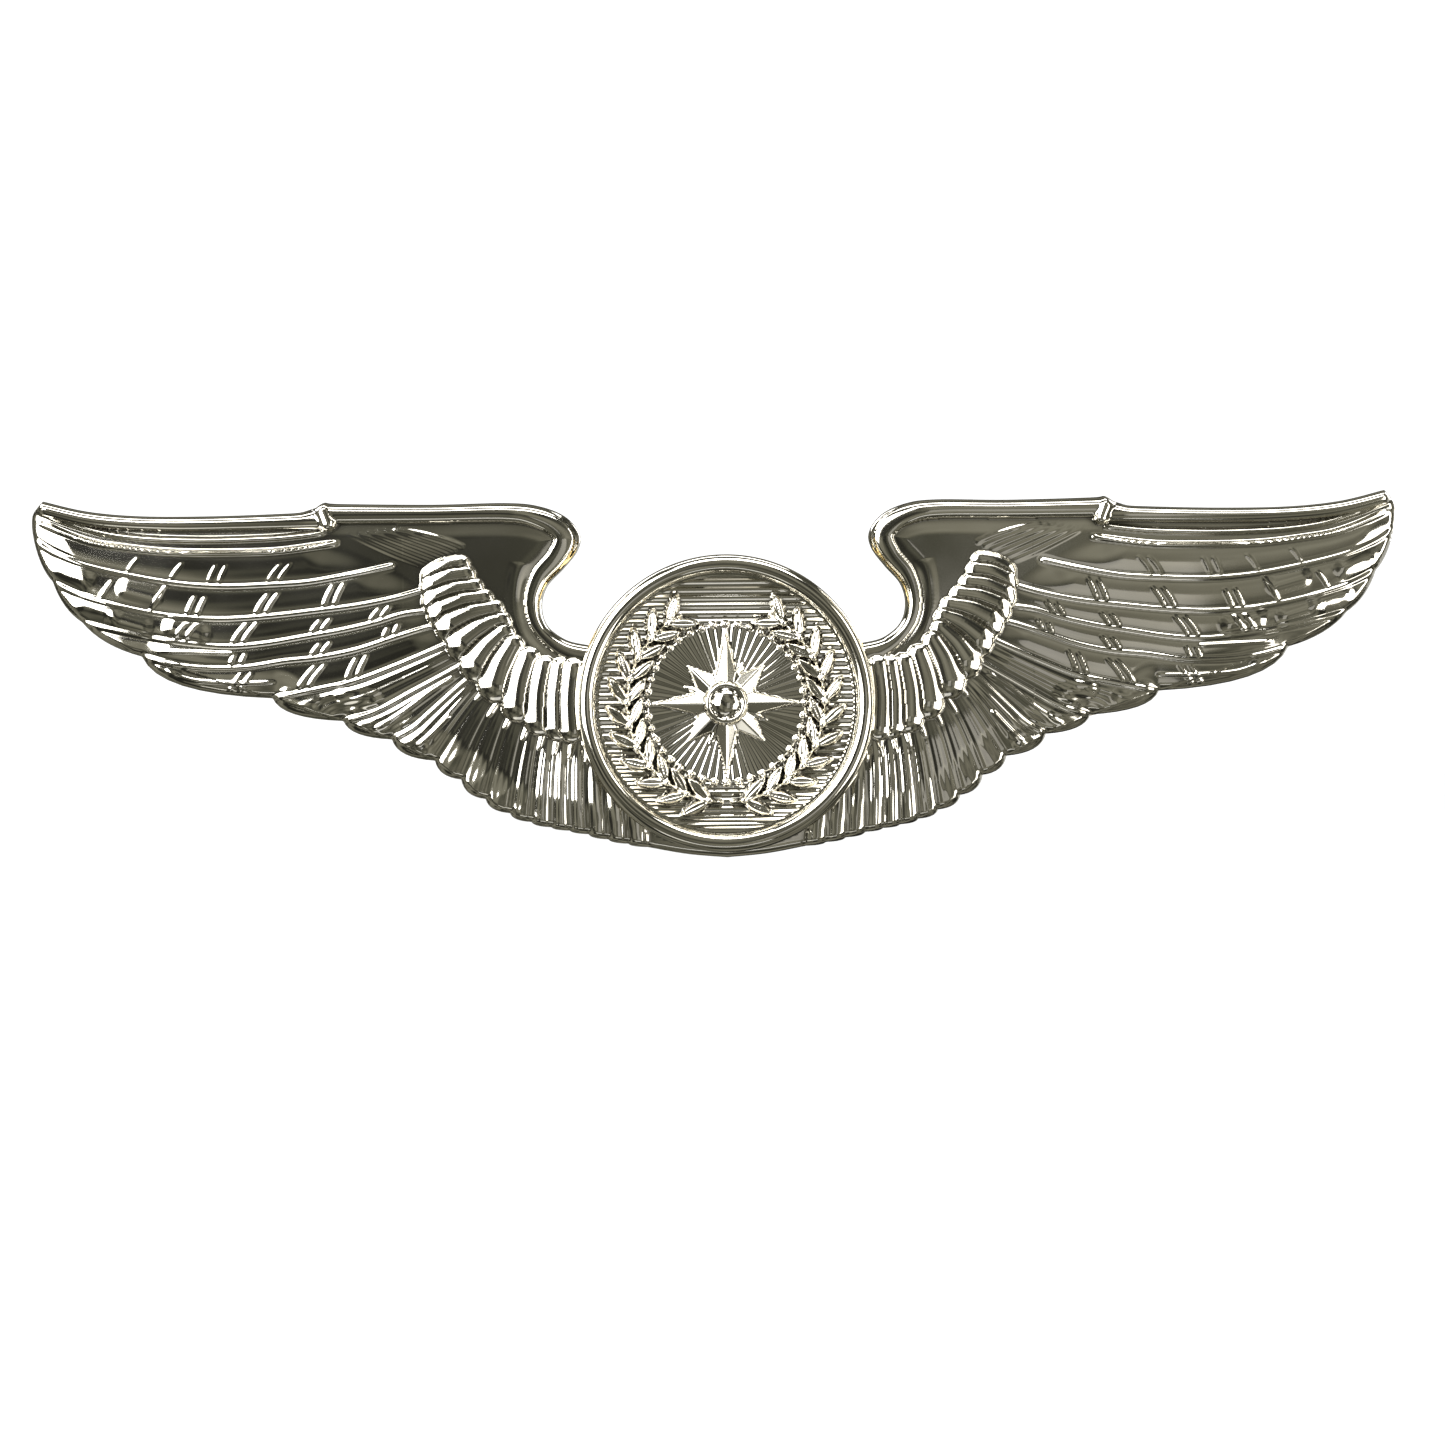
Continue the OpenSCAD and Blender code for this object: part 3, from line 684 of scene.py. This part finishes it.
def add_branch(sheet, side):
    """A laurel branch up one side of the field: a stem, forked leaves and berries."""
    def place(a):
        return WREATH_R * np.array((side * math.cos(a), math.sin(a)))

    sheet.bead([place(a) for a in np.radians(np.arange(-86, 64, 4))], 0.16, 0.5)
    for k in range(LEAF_PAIRS):
        a = math.radians(-80 + 13.4 * k)
        for fork in (-1, 1):
            heading = a + math.pi / 2 + fork * math.radians(36)
            if side < 0:
                heading = math.pi - heading
            leaf(sheet, place(a), heading, LEAF_LENGTH, LEAF_WIDTH, FIELD_T + 0.22, 0.3)
        ball(sheet, place(a), BALL_R, FIELD_T + 0.42)


def medallion_sheet():
    """The ribbed field with its branches, and the beaded rays with the star."""
    n_across, n_up = int(2 * FIELD_HALF / 0.055), int(2 * FIELD_HALF / 0.045)
    sheet = Relief(np.linspace(-FIELD_HALF, FIELD_HALF, n_across),
                   np.linspace(-FIELD_HALF, FIELD_HALF, n_up))
    r, q = np.hypot(sheet.x, sheet.z), np.arctan2(sheet.z, sheet.x)
    ribs = FIELD_T + 0.1 * (0.5 + 0.5 * np.cos(2 * math.pi * sheet.z / RIB_PITCH))
    rays = FIELD_T + 0.12 + 0.05 * (0.5 + 0.5 * np.cos(RAYS * q))
    inner = 1 - smooth_step(r, RAYS_R, RAYS_R + 0.15)
    sheet.height = (1 - inner) * ribs + inner * rays
    for side in (-1, 1):
        add_branch(sheet, side)
    for k in range(BEADS):
        a = 2 * math.pi * k / BEADS
        ball(sheet, (BEADS_R * math.cos(a), BEADS_R * math.sin(a)), BALL_R, FIELD_T + 0.1, 1.2)
    half_sector = math.radians(22.5)
    sheet.raise_to(star(sheet, 0.62 * STAR_R, FIELD_T + 0.2, FIELD_T + 0.75, half_sector))
    sheet.raise_to(star(sheet, STAR_R, FIELD_T + 0.3, FIELD_T + 1.0))
    ball(sheet, (0, 0), HUB_R, FIELD_T + 0.55, 0.5 / HUB_R)
    off = np.abs(r - HUB_RING_R)
    ring = FIELD_T + 0.72 + np.sqrt(np.clip(HUB_RING_HALF ** 2 - off ** 2, 0, 1))
    sheet.raise_to(np.where(off < HUB_RING_HALF, ring, 0))
    sheet.height = blurred(sheet.height, 1)
    # How far each place sits below its surroundings; the silver's material paints shade there
    sheet.cavity = sheet.height - blurred(sheet.height, 6)
    sheet.depth = FIELD_R - 0.03 - r
    flat = FIELD_T + 0.05
    sheet.height = flat + (sheet.height - flat) * smooth_step(sheet.depth, 0, 0.12)
    return sheet


def medallion():
    """The disc: the field's relief, the rounded rim round it, its side and its flat back."""
    sheet = medallion_sheet()
    points, faces, loops, (i, j) = clipped_grid(sheet.across, sheet.up, sheet.depth)
    inner = len(i)
    height = np.full(len(points), FIELD_T + 0.05)
    height[:inner] = sheet.height[i, j]
    cavity = np.zeros(len(points))
    cavity[:inner] = sheet.cavity[i, j]
    verts = [np.stack([points[:, 0], height, points[:, 1]], 1)]
    loop = max(loops, key=len)[::-1]

    # The rim's section, as radius and height, from the field over the top to the back
    half = RIM_W / 2
    section = [(FIELD_R + 0.02, FIELD_T + 0.06), (FIELD_R + 0.03, FIELD_T + 0.3)]
    section += [(FIELD_R + half - (half - 0.03) * math.cos(a),
                 FIELD_T + RIM_H - half + half * math.sin(a))
                for a in np.radians(np.arange(0, 181, 9))]
    section[-1] = (MEDALLION_R, section[-1][1])
    section += [(MEDALLION_R, 0.12), (MEDALLION_R - 0.12, 0)]

    # A narrow flat from the field's edge to the first ring of the rim
    ring = circle((0, 0), section[0][0], RIM_COUNT)
    flat, tris, origin = filled([ring, points[loop]])
    start = len(points)
    verts.append(np.stack([flat[:, 0], np.full(len(flat), section[0][1] - 0.01), flat[:, 1]], 1))
    corner = [loop[o - RIM_COUNT] if o >= RIM_COUNT else start + v for v, o in enumerate(origin)]
    centre_r = np.hypot(*flat.T)
    faces += [[corner[v] for v in t] for t in tris if centre_r[t].mean() > FIELD_R - 0.029]
    first = {o: start + v for v, o in enumerate(origin) if 0 <= o < RIM_COUNT}

    rings = [[first[k] for k in range(RIM_COUNT)]]
    total = start + len(flat)
    for radius, h in section[1:]:
        c = circle((0, 0), radius, RIM_COUNT)
        verts.append(np.stack([c[:, 0], np.full(RIM_COUNT, h), c[:, 1]], 1))
        rings.append(list(range(total, total + RIM_COUNT)))
        total += RIM_COUNT
    for low, high in zip(rings[:-1], rings[1:]):
        for k in range(RIM_COUNT):
            m = (k + 1) % RIM_COUNT
            faces.append([low[k], high[k], high[m], low[m]])
    faces.append(rings[-1])

    used = sorted({v for f in faces for v in f})
    renumber = {v: k for k, v in enumerate(used)}
    faces = [[renumber[v] for v in f] for f in faces]
    place = np.vstack(verts)[used]
    place[:, 1] = -SEAT_FRONT - place[:, 1]
    piece = mesh_object("struck_medallion", place * MM, faces)
    store(piece, "cavity", np.concatenate([cavity, np.zeros(total - len(cavity))])[used])
    return piece


# ---- Materials ---------------------------------------------------------------------------------


class Nodes:
    """Makes a material's nodes in one line each."""

    def __init__(self, name):
        self.material = bpy.data.materials.new(name)
        self.material.use_nodes = True
        self.tree = self.material.node_tree
        self.shader = self.tree.nodes["Principled BSDF"]
        self.place = self.add("ShaderNodeTexCoord").outputs["Object"]

    def add(self, kind, **values):
        node = self.tree.nodes.new(kind)
        for key, value in values.items():
            setattr(node, key, value)
        return node

    def link(self, source, target):
        self.tree.links.new(source, target)

    def noise(self, scale, detail=3.0, distortion=0.0):
        node = self.add("ShaderNodeTexNoise")
        node.inputs["Scale"].default_value = scale
        node.inputs["Detail"].default_value = detail
        node.inputs["Distortion"].default_value = distortion
        self.link(self.place, node.inputs["Vector"])
        return node.outputs["Fac"]

    def ranged(self, value, low, high, to_low, to_high):
        node = self.add("ShaderNodeMapRange")
        for key, number in zip(("From Min", "From Max", "To Min", "To Max"),
                               (low, high, to_low, to_high)):
            node.inputs[key].default_value = number
        self.link(value, node.inputs["Value"])
        return node.outputs["Result"]

    def math(self, operation, a, b):
        node = self.add("ShaderNodeMath", operation=operation)
        for socket, value in zip(node.inputs, (a, b)):
            if isinstance(value, (int, float)):
                socket.default_value = value
            else:
                self.link(value, socket)
        return node.outputs[0]

    def mix(self, share, a, b):
        node = self.add("ShaderNodeMix", data_type="RGBA")
        self.link(share, node.inputs["Factor"])
        for key, value in zip((6, 7), (a, b)):
            if isinstance(value, tuple):
                node.inputs[key].default_value = (*value, 1)
            else:
                self.link(value, node.inputs[key])
        return node.outputs[2]

    def bump(self, height, distance, strength):
        node = self.add("ShaderNodeBump")
        node.inputs["Distance"].default_value = distance
        node.inputs["Strength"].default_value = strength
        self.link(height, node.inputs["Height"])
        self.link(node.outputs["Normal"], self.shader.inputs["Normal"])


def metal(name, colour, dark, rough, grain=0.25):
    """Plated metal: tarnish in patches, polish that varies, and a fine grain."""
    n = Nodes(name)
    n.shader.inputs["Metallic"].default_value = 1.0
    patches = n.ranged(n.noise(420, 4), 0.35, 0.72, 0.0, 1.0)
    n.link(n.mix(patches, colour, dark), n.shader.inputs["Base Color"])
    polish = n.ranged(n.noise(1500, 3), 0.3, 0.75, rough[0], rough[1])
    n.link(polish, n.shader.inputs["Roughness"])
    n.bump(n.noise(6000, 2), 0.00002, grain)
    return n.material


def struck_silver(name):
    """Bright plated silver over struck relief, duller in the sunken places, with painted shade that
    darkens its colour there.
    """
    n = Nodes(name)
    n.shader.inputs["Metallic"].default_value = 1.0
    cavity = n.add("ShaderNodeAttribute", attribute_name="cavity").outputs["Fac"]
    # How sunken each place is: it drives painted shade in the colour, and a real dullness in the
    # roughness
    recess_shade_and_dulling = n.ranged(cavity, -0.16, 0.0, 1.0, 0.0)
    patches = n.ranged(n.noise(300, 4), 0.3, 0.75, 0.0, 1.0)
    plain = n.mix(patches, (0.84, 0.81, 0.73), (0.74, 0.71, 0.62))
    # Painted shade: the colour darkens to near black where the relief sits below its neighbours
    n.link(n.mix(recess_shade_and_dulling, plain, (0.22, 0.21, 0.18)), n.shader.inputs["Base Color"])
    polish = n.ranged(n.noise(260, 2), 0.3, 0.75, 0.06, 0.11)
    n.link(n.math("ADD", polish, n.math("MULTIPLY", recess_shade_and_dulling, 0.06)), n.shader.inputs["Roughness"])
    n.bump(n.noise(300, 1, 0.2), 0.0001, 0.08)
    return n.material


# ---- Stage and light ---------------------------------------------------------------------------

FLOOR_DROP = 48.0        # from the badge's middle down to the floor
FLOOR_HALF = 4.0         # half the floor's side, in metres


def make_stage():
    corners = [(a * FLOOR_HALF, b * FLOOR_HALF, -FLOOR_DROP * MM)
               for a, b in ((-1, -1), (1, -1), (1, 1), (-1, 1))]
    floor = mesh_object("floor", corners, [[0, 1, 2, 3]])
    floor.visible_glossy = False
    n = Nodes("pale_floor")
    n.link(n.mix(n.noise(6), (0.93, 0.93, 0.93), (0.90, 0.90, 0.90)), n.shader.inputs["Base Color"])
    n.shader.inputs["Roughness"].default_value = 0.9
    floor.data.materials.append(n.material)


def make_world():
    """White round the badge, and a dim room with soft patches in what the metal reflects."""
    world = bpy.data.worlds.new("studio")
    bpy.context.scene.world = world
    world.use_nodes = True
    tree = world.node_tree
    tree.nodes.clear()
    add = tree.nodes.new
    link = tree.links.new
    place = add("ShaderNodeTexCoord")
    split = add("ShaderNodeSeparateXYZ")
    link(place.outputs["Generated"], split.inputs[0])
    noise = add("ShaderNodeTexNoise")
    noise.inputs["Scale"].default_value = 2.6
    noise.inputs["Detail"].default_value = 2.0
    link(place.outputs["Generated"], noise.inputs["Vector"])
    room = add("ShaderNodeValToRGB")
    stops = [(0.36, (0.025, 0.025, 0.021)), (0.46, (0.085, 0.085, 0.066)),
             (0.55, (0.155, 0.15, 0.12)), (0.66, (0.25, 0.245, 0.20))]
    ramp = room.color_ramp
    while len(ramp.elements) < len(stops):
        ramp.elements.new(0.5)
    for element, (where, colour) in zip(ramp.elements, stops):
        element.position = where
        element.color = (*colour, 1)
    link(noise.outputs["Fac"], room.inputs["Fac"])
    dim = add("ShaderNodeBackground")
    link(room.outputs["Color"], dim.inputs["Color"])
    white = add("ShaderNodeBackground")
    white.inputs["Color"].default_value = (1, 1, 1, 1)
    white.inputs["Strength"].default_value = 1.2
    rays = add("ShaderNodeLightPath")
    mix = add("ShaderNodeMixShader")
    link(rays.outputs["Is Glossy Ray"], mix.inputs["Fac"])
    link(white.outputs[0], mix.inputs[1])
    link(dim.outputs[0], mix.inputs[2])
    link(mix.outputs[0], add("ShaderNodeOutputWorld").inputs["Surface"])


def softbox(name, towards, distance, size, radiance, colour=(1, 1, 1)):
    """A rectangular lamp at a distance in metres out along a direction, facing the badge."""
    data = bpy.data.lights.new(name, "AREA")
    data.shape = "RECTANGLE"
    data.size, data.size_y = size
    data.energy = radiance * math.pi * size[0] * size[1]
    data.color = colour
    lamp = bpy.data.objects.new(name, data)
    bpy.context.scene.collection.objects.link(lamp)
    direction = Vector(towards).normalized()
    lamp.location = direction * distance
    lamp.rotation_euler = direction.to_track_quat("Z", "Y").to_euler()
    lamp.visible_camera = False


def make_light():
    softbox("key_left", (-0.85, -0.75, 0.45), 0.6, (0.50, 0.70), 6)
    softbox("top", (0.1, -0.45, 1.0), 0.6, (0.50, 0.22), 6)
    softbox("right", (0.9, -0.55, 0.2), 0.6, (0.20, 0.55), 4, (1, 0.97, 0.93))
    softbox("right_low", (0.9, -0.65, -0.3), 0.6, (0.35, 0.28), 3, (1, 0.98, 0.95))
    softbox("right_front", (0.19, -1.0, -0.19), 0.6, (0.14, 0.26), 0.3, (1, 0.98, 0.95))
    softbox("low", (-0.1, -0.6, -0.9), 0.6, (0.45, 0.10), 0.8)
    softbox("back_left", (-0.8, 0.7, 0.8), 0.6, (0.3, 0.3), 5)
    softbox("back_right", (0.7, 0.9, 0.3), 0.6, (0.15, 0.4), 4)
    softbox("back_top", (0.0, 0.5, 1.0), 0.6, (0.5, 0.15), 4)
    softbox("back_fill", (0.6, 0.8, 0.0), 0.8, (0.9, 0.6), 0.45)


# ---- Putting it together -----------------------------------------------------------------------

SILVER = struck_silver("plated_silver")
NODE_METALS = {
    "post": metal("post_silver", (0.80, 0.79, 0.75), (0.66, 0.65, 0.60), (0.12, 0.28)),
    "post_solder": metal("solder", (0.50, 0.50, 0.50), (0.34, 0.34, 0.34), (0.32, 0.55), grain=0.8),
    "base": metal("base_brass", (0.83, 0.66, 0.32), (0.66, 0.47, 0.20), (0.14, 0.30)),
    "cover": metal("cover_brass", (0.86, 0.70, 0.36), (0.70, 0.52, 0.24), (0.10, 0.26)),
    "ear": metal("ear_brass", (0.88, 0.74, 0.42), (0.72, 0.55, 0.27), (0.10, 0.24)),
    "spring": metal("spring_steel", (0.50, 0.50, 0.51), (0.30, 0.29, 0.28), (0.18, 0.35)),
}


def dress(node, material):
    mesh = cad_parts[node].data
    mesh.materials.clear()
    mesh.materials.append(material)


def main():
    bpy.context.scene.view_settings.view_transform = "Standard"
    make_stage()
    make_world()
    make_light()
    plate = wing_plate()
    disc = medallion()
    for piece, node in ((plate, "wing_plate"), (disc, "medallion")):
        piece.data.materials.append(SILVER)
        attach(piece, "badge")
        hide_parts(node)
    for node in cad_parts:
        kind = "post_solder" if node == "post_solder" else node.split("_")[-1]
        if kind in NODE_METALS:
            dress(node, NODE_METALS[kind])


main()
